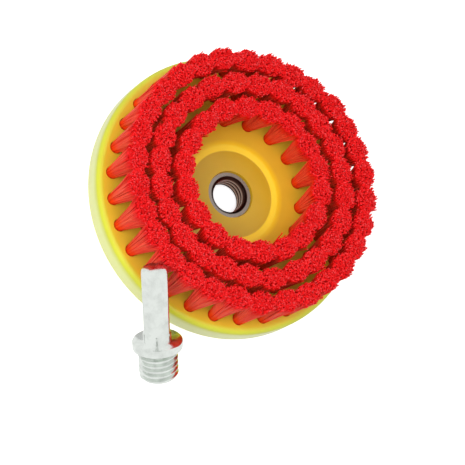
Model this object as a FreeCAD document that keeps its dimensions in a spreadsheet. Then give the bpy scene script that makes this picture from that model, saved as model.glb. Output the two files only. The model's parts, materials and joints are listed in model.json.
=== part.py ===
import FreeCAD, Part
import math
import os
import Sketcher

# Wheel brush with a loose drill adapter.
# The brush lies on its back, bristles up. The origin is the centre of the back face and +Z is the
# brush's own axis. The steel adapter is parked beside the disc: its thread end stands on the floor
# and the end of its shank leans against the outer tufts.

FreeCAD.newDocument("wheel_brush")
doc = FreeCAD.ActiveDocument
sheet = doc.addObject("Spreadsheet::Sheet", "Sizes")

# Driving dimensions, in millimetres, degrees and counts.
SIZES = {
    # plastic disc
    "disc_radius": 52.0,
    "disc_thickness": 10.0,
    "rim_round": 2.0,
    "back_round": 0.8,
    # shallow dish around the hub
    "dish_radius": 16.2,
    "dish_depth": 0.5,
    "dish_slope_width": 2.4,
    "dish_round": 3.0,
    # funnel in the plastic that leads down to the insert
    "funnel_mouth_radius": 8.8,
    "funnel_floor_radius": 8.45,
    "funnel_depth": 1.1,
    # threaded steel insert
    "insert_radius": 9.5,
    "insert_shoulder": 0.8,
    "insert_flange_flats": 22.0,
    "insert_flange_thickness": 2.2,
    "insert_groove_start": 3.4,
    "insert_groove_width": 1.6,
    "insert_groove_depth": 0.9,
    "thread_bore_radius": 5.92,
    "mouth_chamfer": 1.15,
    "moulding_gap": 0.02,
    # tuft holes and tufts; a tuft fans out wider along its ring than across it, and its locks of
    # filaments are parted by grooves this share of its radius
    "tuft_hole_radius": 2.4,
    "tuft_hole_depth": 6.5,
    "tuft_gap": 0.05,
    "tuft_height": 21.0,
    "tuft_tip_radius": 4.3,
    "tuft_tip_reach": 4.65,
    "tuft_tip_round": 0.8,
    "tuft_groove_share": 0.16,
    # flat wire anchor near the bottom of each hole
    "anchor_length": 5.6,
    "anchor_width": 1.8,
    "anchor_thickness": 0.4,
    "anchor_fold": 0.9,
    "anchor_gap": 0.04,
    # steel drill adapter
    "adapter_thread_radius": 7.0,
    "adapter_thread_depth": 1.08,
    "adapter_thread_length": 11.6,
    "adapter_thread_pitch": 2.0,
    "adapter_thread_chamfer": 1.2,
    "adapter_flange_radius": 8.9,
    "adapter_flange_thickness": 3.0,
    "adapter_flange_edge": 0.3,
    "adapter_neck_radius": 5.0,
    "adapter_neck_length": 3.5,
    "adapter_neck_chamfer": 0.5,
    "shank_flats": 9.0,
    "shank_length": 24.7,
    "shank_chamfer": 1.2,
    "shank_turn": 27.1,
    # where the loose adapter is parked: the bearing of its shank's end, seen from the brush's axis,
    # that end's gap to the tufts, and the way the shank points
    "adapter_rest_bearing": -80.85,
    "adapter_rest_gap": 0.78,
    "adapter_heading": 167.9,
    "adapter_floor_gap": 0.3,
    # rings of tufts: the disc's edge to the outer holes, the gap between neighbouring tips, how far
    # the tips lean in towards the axis, and the angle of each ring's first tuft
    "rim_margin": 5.5,
    "tuft_tip_gap": 0.1,
    "tuft_lean": 0.6,
    "outer_extra_lean": 0.7,
    "outer_ring_phase": 4.8,
    "middle_ring_phase": 7.0,
    "inner_ring_phase": 11.4,
}
# How many locks of filaments a tuft fans out into.
TUFT_LOCKS = 8
# How many nodes each ring of tufts is shared out to, and how many the anchors are.
TUFT_NODES = {"outer": 15, "middle": 12, "inner": 9}
ANCHOR_NODES = 6

for row, (alias, value) in enumerate(SIZES.items(), start=1):
    sheet.set(f"A{row}", alias)
    sheet.set(f"B{row}", str(value))
    sheet.setAlias(f"B{row}", alias)
doc.recompute()

# Heights that several pieces share.
DISH_FLOOR = "(Sizes.disc_thickness - Sizes.dish_depth)"
INSERT_TOP = f"({DISH_FLOOR} - Sizes.funnel_depth)"
HOLE_BOTTOM = "(Sizes.disc_thickness - Sizes.tuft_hole_depth)"
ANCHOR_BOTTOM = f"({HOLE_BOTTOM} + Sizes.anchor_fold)"
TUFT_TOP = "(Sizes.disc_thickness + Sizes.tuft_height)"

# The rings, from the rim inwards: where their tufts stand and how far those lean in.
TUFT_STEP = "(2 * Sizes.tuft_tip_reach + Sizes.tuft_tip_gap)"
RING_RADIUS = {
    "outer": "(Sizes.disc_radius - Sizes.rim_margin)",
    "middle": f"(Sizes.disc_radius - Sizes.rim_margin - {TUFT_STEP})",
    "inner": f"(Sizes.disc_radius - Sizes.rim_margin - 2 * {TUFT_STEP})",
}
RING_LEAN = {
    "outer": "(Sizes.tuft_lean + Sizes.outer_extra_lean)",
    "middle": "Sizes.tuft_lean",
    "inner": "Sizes.tuft_lean",
}


def new_body(label):
    body = doc.addObject("PartDesign::Body", label)
    body.Label = label
    return body


def origin_feature(body, role):
    """One of the body's own origin planes or axes, such as XY_Plane or Z_Axis."""
    return next(item for item in body.Origin.OriginFeatures if item.Role == role)


def new_sketch(body, name, role, lift=None, turn=None):
    """A sketch on one of the body's origin planes, lifted and turned by expressions."""
    sketch = body.newObject("Sketcher::SketchObject", name)
    sketch.AttachmentSupport = [(origin_feature(body, role), "")]
    sketch.MapMode = "FlatFace"
    if lift:
        sketch.setExpression("AttachmentOffset.Base.z", lift)
    if turn:
        sketch.setExpression("AttachmentOffset.Rotation.Angle", f"{turn} * 1 deg")
    return sketch


def bind(sketch, expression, *constraint):
    """Add a driving constraint whose value is an expression."""
    index = sketch.addConstraint(Sketcher.Constraint(*constraint, 1.0))
    sketch.setExpression(f"Constraints[{index}]", expression)


def half_profile(body, name, corners):
    """A closed outline on the XZ plane, from pairs of expressions for radius and height."""
    sketch = new_sketch(body, name, "XZ_Plane")
    count = len(corners)
    turns = [2 * math.pi * i / count for i in range(count)]
    start = [FreeCAD.Vector(20 + 10 * math.cos(a), 20 + 10 * math.sin(a), 0) for a in turns]
    for i in range(count):
        sketch.addGeometry(Part.LineSegment(start[i], start[(i + 1) % count]))
    for i in range(count):
        sketch.addConstraint(Sketcher.Constraint("Coincident", i, 2, (i + 1) % count, 1))
    for i, (radius, height) in enumerate(corners):
        if radius == "0":
            sketch.addConstraint(Sketcher.Constraint("PointOnObject", i, 1, -2))
        else:
            bind(sketch, radius, "DistanceX", -1, 1, i, 1)
        if height == "0":
            sketch.addConstraint(Sketcher.Constraint("PointOnObject", i, 1, -1))
        else:
            bind(sketch, height, "DistanceY", -1, 1, i, 1)
    return sketch


def circle_sketch(body, name, centre, radius, lift, turn=None):
    """One circle centred on the sketch's X axis."""
    sketch = new_sketch(body, name, "XY_Plane", lift, turn)
    sketch.addGeometry(Part.Circle(FreeCAD.Vector(30, 0, 0), FreeCAD.Vector(0, 0, 1), 2))
    sketch.addConstraint(Sketcher.Constraint("PointOnObject", 0, 3, -1))
    bind(sketch, centre, "DistanceX", -1, 1, 0, 3)
    bind(sketch, radius, "Radius", 0)
    return sketch


def pleated_sketch(body, name, centre, across, along, lift):
    """The outline of a tuft round a point on the sketch's X axis: a ridge for each lock of filaments.
    It reaches this far across its ring of tufts, which is the X axis, and this far along the ring."""
    sketch = new_sketch(body, name, "XY_Plane", lift)
    count = 2 * TUFT_LOCKS
    turns = [360 * (i + 0.5) / count for i in range(count)]
    start = [
        FreeCAD.Vector(40 + 3 * math.cos(math.radians(turn)), 3 * math.sin(math.radians(turn)), 0)
        for turn in turns
    ]
    for i in range(count):
        sketch.addGeometry(Part.LineSegment(start[i], start[(i + 1) % count]))
    for i in range(count):
        sketch.addConstraint(Sketcher.Constraint("Coincident", i, 2, (i + 1) % count, 1))
    for i, turn in enumerate(turns):
        share = "(1 - Sizes.tuft_groove_share)" if i % 2 else "1"
        ends = (-1, 1, i, 1) if turn < 180 else (i, 1, -1, 1)
        bind(sketch, f"{centre} + {share} * {across} * cos({turn} deg)", "DistanceX", -1, 1, i, 1)
        bind(sketch, f"{share} * {along} * sin({turn % 180} deg)", "DistanceY", *ends)
    return sketch


def slot_sketch(body, name, centre, length, width, lift, turn=None):
    """One rectangle that lies along the sketch's X axis, centred on it."""
    sketch = new_sketch(body, name, "XY_Plane", lift, turn)
    corners = [FreeCAD.Vector(x, y, 0) for x, y in ((27, -1), (33, -1), (33, 1), (27, 1))]
    for i in range(4):
        sketch.addGeometry(Part.LineSegment(corners[i], corners[(i + 1) % 4]))
    for i in range(4):
        sketch.addConstraint(Sketcher.Constraint("Coincident", i, 2, (i + 1) % 4, 1))
    sketch.addConstraint(Sketcher.Constraint("Horizontal", 0))
    sketch.addConstraint(Sketcher.Constraint("Horizontal", 2))
    sketch.addConstraint(Sketcher.Constraint("Vertical", 1))
    sketch.addConstraint(Sketcher.Constraint("Symmetric", 0, 1, 3, 1, -1))
    bind(sketch, f"{centre} - {length} / 2", "DistanceX", -1, 1, 0, 1)
    bind(sketch, length, "DistanceX", 0, 1, 0, 2)
    bind(sketch, width, "DistanceY", 1, 1, 1, 2)
    return sketch


def turned(body, kind, name, sketch):
    """A revolution or a groove of the sketch round the body's Z axis."""
    feature = body.newObject(f"PartDesign::{kind}", name)
    feature.Profile = sketch
    feature.ReferenceAxis = (sketch, ["V_Axis"])
    feature.Angle = 360
    return feature


def pocket(body, name, sketch, depth, upwards):
    """A blind pocket from the sketch, down or up."""
    feature = body.newObject("PartDesign::Pocket", name)
    feature.Profile = sketch
    feature.Type = "Length"
    feature.setExpression("Length", depth)
    feature.Reversed = upwards
    return feature


def round_edges(body, name, radius, chosen):
    """Fillet the edges of the body's tip that the test chooses."""
    doc.recompute()
    base = body.Tip
    edges = [f"Edge{i}" for i, edge in enumerate(base.Shape.Edges, start=1) if chosen(edge)]
    fillet = body.newObject("PartDesign::Fillet", name)
    fillet.Base = (base, edges)
    fillet.setExpression("Radius", radius)
    doc.recompute()


def circle_at(radius, height):
    """A test for a full circular edge of this radius at this height."""
    def test(edge):
        box = edge.BoundBox
        same_radius = abs(box.XMax - radius) < 1e-4
        return same_radius and abs(box.ZMin - height) < 1e-4 and abs(box.ZMax - height) < 1e-4
    return test


def size(alias):
    """The number that the sheet's cell holds."""
    return float(sheet.get(alias))


# ---------------------------------------------------------------------------------------------
# Brush plate: one moulded plastic disc, with a seat for the insert and three rings of blind holes.
# ---------------------------------------------------------------------------------------------

def ring_of_holes(body, ring):
    """The blind tuft holes of one ring, each with the cut that its anchor makes in the plastic."""
    radius = RING_RADIUS[ring]
    phase = f"Sizes.{ring}_ring_phase"
    hole = circle_sketch(
        body, f"{ring}_hole_outline", radius, "Sizes.tuft_hole_radius", "Sizes.disc_thickness", phase)
    hole_cut = pocket(body, f"{ring}_hole", hole, "Sizes.tuft_hole_depth", False)
    cut = slot_sketch(
        body, f"{ring}_anchor_outline", radius, "(Sizes.anchor_length + 2 * Sizes.anchor_gap)",
        "(Sizes.anchor_thickness + 2 * Sizes.anchor_gap)", f"{ANCHOR_BOTTOM} - Sizes.anchor_gap", phase)
    anchor_cut = pocket(
        body, f"{ring}_anchor_cut", cut, "Sizes.anchor_width + 2 * Sizes.anchor_gap", True)
    doc.recompute()
    pattern = body.newObject("PartDesign::PolarPattern", f"{ring}_ring")
    pattern.Originals = [hole_cut, anchor_cut]
    pattern.Axis = (origin_feature(body, "Z_Axis"), [""])
    pattern.Angle = 360
    tip_circle = f"2 * pi * ({radius} - {RING_LEAN[ring]})"
    pattern.setExpression("Occurrences", f"floor({tip_circle} / {TUFT_STEP})")
    body.Tip = pattern
    doc.recompute()


def brush_plate():
    body = new_body("brush_plate")
    seat_radius = "(Sizes.insert_radius + Sizes.moulding_gap)"
    rib_radius = "(Sizes.insert_radius - Sizes.insert_groove_depth + Sizes.moulding_gap)"
    rib_bottom = "(Sizes.insert_groove_start + Sizes.moulding_gap)"
    rib_top = "(Sizes.insert_groove_start + Sizes.insert_groove_width - Sizes.moulding_gap)"
    outline = half_profile(body, "disc_profile", [
        (seat_radius, "0"),
        ("Sizes.disc_radius", "0"),
        ("Sizes.disc_radius", "Sizes.disc_thickness"),
        ("Sizes.dish_radius + Sizes.dish_slope_width", "Sizes.disc_thickness"),
        ("Sizes.dish_radius", DISH_FLOOR),
        ("Sizes.funnel_mouth_radius", DISH_FLOOR),
        ("Sizes.funnel_floor_radius", f"{INSERT_TOP} + Sizes.moulding_gap"),
        ("Sizes.insert_radius - Sizes.insert_shoulder", f"{INSERT_TOP} + Sizes.moulding_gap"),
        (seat_radius, f"{INSERT_TOP} - Sizes.insert_shoulder"),
        (seat_radius, rib_top),
        (rib_radius, rib_top),
        (rib_radius, rib_bottom),
        (seat_radius, rib_bottom),
    ])
    turned(body, "Revolution", "disc", outline)
    edge_radius = size("disc_radius")
    dish_rim_radius = size("dish_radius") + size("dish_slope_width")
    thickness = size("disc_thickness")
    round_edges(body, "rim", "Sizes.rim_round", circle_at(edge_radius, thickness))
    round_edges(body, "back_rim", "Sizes.back_round", circle_at(edge_radius, 0))
    round_edges(body, "dish_rim", "Sizes.dish_round", circle_at(dish_rim_radius, thickness))
    seat = body.newObject("PartDesign::SubtractivePrism", "flange_seat")
    seat.Polygon = 6
    seat.setExpression(
        "Circumradius", "Sizes.insert_flange_flats / 2 / cos(30 deg) + Sizes.moulding_gap")
    seat.setExpression("Height", "Sizes.insert_flange_thickness + Sizes.moulding_gap")
    for ring in RING_RADIUS:
        ring_of_holes(body, ring)
    return body


# ---------------------------------------------------------------------------------------------
# Threaded insert: a steel bush with a hexagon flange at the back and a retaining groove. Its bore
# has the radius of the thread's crests.
# ---------------------------------------------------------------------------------------------

def threaded_insert():
    body = new_body("threaded_insert")
    flange = body.newObject("PartDesign::AdditivePrism", "flange")
    flange.Polygon = 6
    flange.setExpression("Circumradius", "Sizes.insert_flange_flats / 2 / cos(30 deg)")
    flange.setExpression("Height", "Sizes.insert_flange_thickness")
    neck = "Sizes.insert_radius - Sizes.insert_groove_depth"
    groove_top = "Sizes.insert_groove_start + Sizes.insert_groove_width"
    barrel = half_profile(body, "barrel_profile", [
        ("0", "0"),
        ("Sizes.insert_radius", "0"),
        ("Sizes.insert_radius", "Sizes.insert_groove_start"),
        (neck, "Sizes.insert_groove_start"),
        (neck, groove_top),
        ("Sizes.insert_radius", groove_top),
        ("Sizes.insert_radius", f"{INSERT_TOP} - Sizes.insert_shoulder"),
        ("Sizes.insert_radius - Sizes.insert_shoulder", INSERT_TOP),
        ("0", INSERT_TOP),
    ])
    turned(body, "Revolution", "barrel", barrel)
    bore = half_profile(body, "bore_profile", [
        ("0", "0"),
        ("Sizes.thread_bore_radius", "0"),
        ("Sizes.thread_bore_radius", f"{INSERT_TOP} - Sizes.mouth_chamfer"),
        ("Sizes.thread_bore_radius + Sizes.mouth_chamfer", INSERT_TOP),
        ("0", INSERT_TOP),
    ])
    turned(body, "Groove", "bore", bore)
    return body


# ---------------------------------------------------------------------------------------------
# Bristle tufts: a tight root in the hole, fanning out to a wide tip that is parted into locks. Each
# is folded over an anchor.
# ---------------------------------------------------------------------------------------------

def single_tuft(ring):
    """One tuft of a ring, standing on the X axis."""
    body = new_body(f"{ring}_tuft_shape")
    root = RING_RADIUS[ring]
    tip = f"({root} - {RING_LEAN[ring]})"
    root_radius = "(Sizes.tuft_hole_radius - Sizes.tuft_gap)"
    tip_size = ("Sizes.tuft_tip_radius", "Sizes.tuft_tip_reach")
    end_size = [f"({length} - Sizes.tuft_tip_round)" for length in tip_size]
    sections = [
        pleated_sketch(
            body, f"{ring}_root", root, root_radius, root_radius, f"{HOLE_BOTTOM} + Sizes.tuft_gap"),
        pleated_sketch(body, f"{ring}_collar", root, root_radius, root_radius, "Sizes.disc_thickness"),
        pleated_sketch(body, f"{ring}_shoulder", tip, *tip_size, f"{TUFT_TOP} - Sizes.tuft_tip_round"),
        pleated_sketch(body, f"{ring}_tip", tip, *end_size, TUFT_TOP),
    ]
    bundle = body.newObject("PartDesign::AdditiveLoft", f"{ring}_bundle")
    bundle.Profile = sections[0]
    bundle.Sections = sections[1:]
    bundle.Ruled = True
    fold = slot_sketch(
        body, f"{ring}_fold_outline", root, "(Sizes.anchor_length + 2 * Sizes.anchor_gap)",
        "(Sizes.anchor_thickness + 2 * Sizes.anchor_gap)", f"{ANCHOR_BOTTOM} - Sizes.anchor_gap")
    pocket(body, f"{ring}_fold", fold, "Sizes.anchor_width + 2 * Sizes.anchor_gap", True)
    return body


def single_anchor(ring):
    """The flat wire anchor of a ring's tuft, lying on the X axis."""
    anchor = doc.addObject("Part::Box", f"{ring}_anchor_shape")
    anchor.setExpression("Length", "Sizes.anchor_length")
    anchor.setExpression("Width", "Sizes.anchor_thickness")
    anchor.setExpression("Height", "Sizes.anchor_width")
    anchor.setExpression("Placement.Base.x", f"{RING_RADIUS[ring]} - Sizes.anchor_length / 2")
    anchor.setExpression("Placement.Base.y", "-Sizes.anchor_thickness / 2")
    anchor.setExpression("Placement.Base.z", ANCHOR_BOTTOM)
    return anchor


def ring_count(ring):
    """How many holes the ring has, and so how many tufts and anchors."""
    return doc.getObject(f"{ring}_ring").Occurrences


def turned_copy(source, name, ring, index):
    """A copy of a ring's shape, turned round Z to the tuft with this index."""
    copy = doc.addObject("App::Link", name)
    copy.LinkedObject = source
    copy.LinkTransform = True
    copy.Placement = FreeCAD.Placement(FreeCAD.Vector(), FreeCAD.Rotation(FreeCAD.Vector(0, 0, 1), 1))
    copy.setExpression(
        "Placement.Rotation.Angle",
        f"(Sizes.{ring}_ring_phase + {index} * 360 / {ring}_ring.Occurrences) * 1 deg")
    return copy


def ring_of_copies(source, name, ring):
    """A copy of the ring's shape at each of its holes."""
    return [turned_copy(source, f"{name}_{i + 1:02d}", ring, i) for i in range(ring_count(ring))]


def shared_out(items, shares):
    """The items in this many runs of neighbours."""
    count = len(items)
    return [items[count * i // shares:count * (i + 1) // shares] for i in range(shares)]


def group(label, members):
    compound = doc.addObject("Part::Compound", label)
    compound.Label = label
    compound.Links = members
    return compound


def ring_of_tufts(ring):
    """The tufts of one ring, a few neighbours to a node."""
    copies = ring_of_copies(single_tuft(ring), f"{ring}_tuft", ring)
    shares = shared_out(copies, TUFT_NODES[ring])
    return [group(f"{ring}_tufts_{i:02d}", members) for i, members in enumerate(shares, start=1)]


def anchor_sectors():
    """All anchors, grouped in equal sectors of the disc."""
    sectors = [[] for _ in range(ANCHOR_NODES)]
    for ring in RING_RADIUS:
        copies = ring_of_copies(single_anchor(ring), f"{ring}_anchor", ring)
        for sector, members in zip(sectors, shared_out(copies, ANCHOR_NODES)):
            sector.extend(members)
    return [group(f"tuft_anchors_{i}", members) for i, members in enumerate(sectors, start=1)]


# ---------------------------------------------------------------------------------------------
# Drill adapter: one turned steel piece, thread end first along its own Z axis. The male thread is
# a row of ring grooves with the pitch and the depth of the real helix.
# ---------------------------------------------------------------------------------------------

FLANGE_TOP = "(Sizes.adapter_thread_length + Sizes.adapter_flange_thickness)"
NECK_TOP = f"({FLANGE_TOP} + Sizes.adapter_neck_length)"
SHANK_TOP = f"({NECK_TOP} + Sizes.shank_length)"


def adapter_thread(body):
    """Ring grooves along the thread."""
    tooth = "Sizes.adapter_thread_pitch / 8"
    start = "Sizes.adapter_thread_chamfer"
    outline = half_profile(body, "thread_groove_profile", [
        ("Sizes.adapter_thread_radius", f"{start} + {tooth}"),
        ("Sizes.adapter_thread_radius - Sizes.adapter_thread_depth",
         f"{start} + Sizes.adapter_thread_pitch / 2"),
        ("Sizes.adapter_thread_radius", f"{start} + Sizes.adapter_thread_pitch - {tooth}"),
    ])
    groove = turned(body, "Groove", "thread_groove", outline)
    doc.recompute()
    pattern = body.newObject("PartDesign::LinearPattern", "thread_grooves")
    pattern.Originals = [groove]
    pattern.Direction = (origin_feature(body, "Z_Axis"), [""])
    turns = f"floor((Sizes.adapter_thread_length - {start}) / Sizes.adapter_thread_pitch)"
    pattern.setExpression("Length", f"({turns} - 1) * Sizes.adapter_thread_pitch")
    pattern.setExpression("Occurrences", turns)
    body.Tip = pattern
    doc.recompute()


def park_adapter(body):
    """Lean the adapter against the outer tufts: the edge of its thread end on the floor, and the
    centre of its shank's end level with the tips of the tufts."""
    tuft_reach = f"({RING_RADIUS['outer']} - {RING_LEAN['outer']} + Sizes.tuft_tip_radius)"
    shank_end_radius = "(Sizes.adapter_neck_radius - Sizes.shank_chamfer)"
    distance = f"({tuft_reach} + {shank_end_radius} + Sizes.adapter_rest_gap)"
    bearing = "Sizes.adapter_rest_bearing * 1 deg"
    heading = "Sizes.adapter_heading * 1 deg"
    edge_to_top = f"({SHANK_TOP} - Sizes.adapter_thread_chamfer)"
    slant = f"hypot({edge_to_top}; Sizes.adapter_thread_radius)"
    tilt = (f"(asin(({TUFT_TOP} - Sizes.adapter_floor_gap) / {slant})"
            f" - atan(Sizes.adapter_thread_radius / {edge_to_top}))")
    length_on_floor = f"{SHANK_TOP} * cos({tilt})"
    x = f"{distance} * cos({bearing}) - {length_on_floor} * cos({heading})"
    y = f"{distance} * sin({bearing}) - {length_on_floor} * sin({heading})"
    z = (f"Sizes.adapter_thread_radius * cos({tilt}) - Sizes.adapter_thread_chamfer * sin({tilt})"
         " + Sizes.adapter_floor_gap")
    turn = f"create(<<rotation>>; Sizes.adapter_heading; 90 - {tilt} / 1 deg; 0)"
    body.setExpression("Placement", f"create(<<placement>>; create(<<vector>>; {x}; {y}; {z}); {turn})")


def drill_adapter():
    body = new_body("drill_adapter")
    flange_edge = "Sizes.adapter_flange_edge"
    outline = half_profile(body, "adapter_profile", [
        ("0", "0"),
        ("Sizes.adapter_thread_radius - Sizes.adapter_thread_chamfer", "0"),
        ("Sizes.adapter_thread_radius", "Sizes.adapter_thread_chamfer"),
        ("Sizes.adapter_thread_radius", "Sizes.adapter_thread_length"),
        (f"Sizes.adapter_flange_radius - {flange_edge}", "Sizes.adapter_thread_length"),
        ("Sizes.adapter_flange_radius", f"Sizes.adapter_thread_length + {flange_edge}"),
        ("Sizes.adapter_flange_radius", f"{FLANGE_TOP} - {flange_edge}"),
        (f"Sizes.adapter_flange_radius - {flange_edge}", FLANGE_TOP),
        ("Sizes.adapter_neck_radius", FLANGE_TOP),
        ("Sizes.adapter_neck_radius", f"{NECK_TOP} - Sizes.adapter_neck_chamfer"),
        ("Sizes.adapter_neck_radius - Sizes.adapter_neck_chamfer", NECK_TOP),
        ("0", NECK_TOP),
    ])
    turned(body, "Revolution", "adapter_core", outline)
    adapter_thread(body)
    shank = body.newObject("PartDesign::AdditivePrism", "hexagon_shank")
    shank.Polygon = 6
    shank.setExpression("Circumradius", "Sizes.shank_flats / 2 / cos(30 deg)")
    shank.setExpression("Height", "Sizes.shank_length + Sizes.adapter_neck_chamfer")
    shank.setExpression("Placement.Base.z", f"{NECK_TOP} - Sizes.adapter_neck_chamfer")
    shank.setExpression("Placement.Rotation.Angle", "Sizes.shank_turn * 1 deg")
    corner = "Sizes.adapter_neck_radius"
    outside = "(Sizes.adapter_neck_radius + Sizes.shank_flats / 2)"
    trim = half_profile(body, "shank_trim_profile", [
        (corner, NECK_TOP),
        (outside, NECK_TOP),
        (outside, SHANK_TOP),
        (f"{corner} - Sizes.shank_chamfer", SHANK_TOP),
        (corner, f"{SHANK_TOP} - Sizes.shank_chamfer"),
    ])
    turned(body, "Groove", "shank_trim", trim)
    park_adapter(body)
    return body


nodes = [brush_plate(), threaded_insert(), drill_adapter()]
for ring_name in RING_RADIUS:
    nodes += ring_of_tufts(ring_name)
nodes += anchor_sectors()
doc.recompute()

for item in doc.Objects:
    if "Invalid" in item.State or "Error" in item.State:
        raise RuntimeError(f"{item.Label} did not build: {item.State}")

os.makedirs("parts", exist_ok=True)
for node in nodes:
    if node.Shape.isNull() or not node.Shape.isValid():
        raise RuntimeError(f"{node.Label} has no valid shape")
    node.Shape.exportStep(f"parts/{node.Label}.step")
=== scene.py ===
"""Looks of a wheel brush: a yellow plate, red filament tufts, a threaded hub and a plated drill adapter.

Everything is in metres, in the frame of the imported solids: the brush lies on its back and +Z is its axis.
"""

import json
import logging
import math
import random
from dataclasses import dataclass, field
from enum import Enum
from typing import Callable, Iterable

import bmesh
import bpy
from mathutils import Matrix, Vector


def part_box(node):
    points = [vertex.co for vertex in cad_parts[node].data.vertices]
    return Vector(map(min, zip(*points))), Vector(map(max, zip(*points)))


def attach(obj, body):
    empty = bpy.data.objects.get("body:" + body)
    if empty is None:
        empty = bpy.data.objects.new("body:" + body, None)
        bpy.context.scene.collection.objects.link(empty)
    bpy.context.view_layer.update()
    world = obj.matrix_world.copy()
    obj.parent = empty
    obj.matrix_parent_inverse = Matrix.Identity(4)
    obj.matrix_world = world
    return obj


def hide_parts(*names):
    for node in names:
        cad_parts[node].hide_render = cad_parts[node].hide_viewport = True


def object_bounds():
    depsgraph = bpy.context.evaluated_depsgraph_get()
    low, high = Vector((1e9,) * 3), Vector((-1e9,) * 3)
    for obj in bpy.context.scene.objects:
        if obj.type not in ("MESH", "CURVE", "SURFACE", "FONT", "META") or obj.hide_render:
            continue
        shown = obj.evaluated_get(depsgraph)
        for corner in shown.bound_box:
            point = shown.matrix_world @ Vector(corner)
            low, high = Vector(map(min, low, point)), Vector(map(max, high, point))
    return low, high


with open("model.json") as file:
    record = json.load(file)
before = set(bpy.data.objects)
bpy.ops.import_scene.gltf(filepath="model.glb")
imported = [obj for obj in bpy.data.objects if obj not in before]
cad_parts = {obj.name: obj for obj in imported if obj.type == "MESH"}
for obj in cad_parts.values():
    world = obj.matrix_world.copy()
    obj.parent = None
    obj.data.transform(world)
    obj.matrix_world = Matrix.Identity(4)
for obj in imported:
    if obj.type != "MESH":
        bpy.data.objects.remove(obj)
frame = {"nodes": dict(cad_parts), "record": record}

LOG = logging.getLogger("wheel_brush")
MM = 0.001
CAD_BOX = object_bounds()

Colour = tuple[float, float, float, float]
Span = tuple[float, float]
RadiusLimit = Callable[[float], float]
Value = bpy.types.NodeSocket | float | tuple[float, ...]

# Most of what a noise gives lies between these two.
NOISE_SPAN: Span = (0.3, 0.7)


class Body(Enum):
    """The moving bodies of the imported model."""

    BRUSH = "brush"
    ADAPTER = "adapter"


class Slot(Enum):
    """The record's material slots."""

    PLASTIC = "yellow_plastic"
    INSERT = "insert_steel"
    PLATED = "plated_steel"
    BRISTLE = "red_bristle"
    WIRE = "anchor_wire"


class Ray(Enum):
    """The kinds of light ray that a material or the world can tell apart."""

    CAMERA = "Is Camera Ray"
    DIFFUSE = "Is Diffuse Ray"
    GLOSSY = "Is Glossy Ray"
    TRANSMISSION = "Is Transmission Ray"


def paint(red: float, green: float, blue: float) -> Colour:
    """A colour as it is seen on a screen, from 0 to 255, in the scene-linear values that shaders take.

    Args:
        red: the red share.
        green: the green share.
        blue: the blue share.

    Returns:
        Red, green, blue and an alpha of 1, all linear.
    """
    def linear(value: float) -> float:
        """One share, from 0 to 255, made linear."""
        share = value / 255
        return share / 12.92 if share <= 0.04045 else ((share + 0.055) / 1.055) ** 2.4

    return linear(red), linear(green), linear(blue), 1.0


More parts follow.
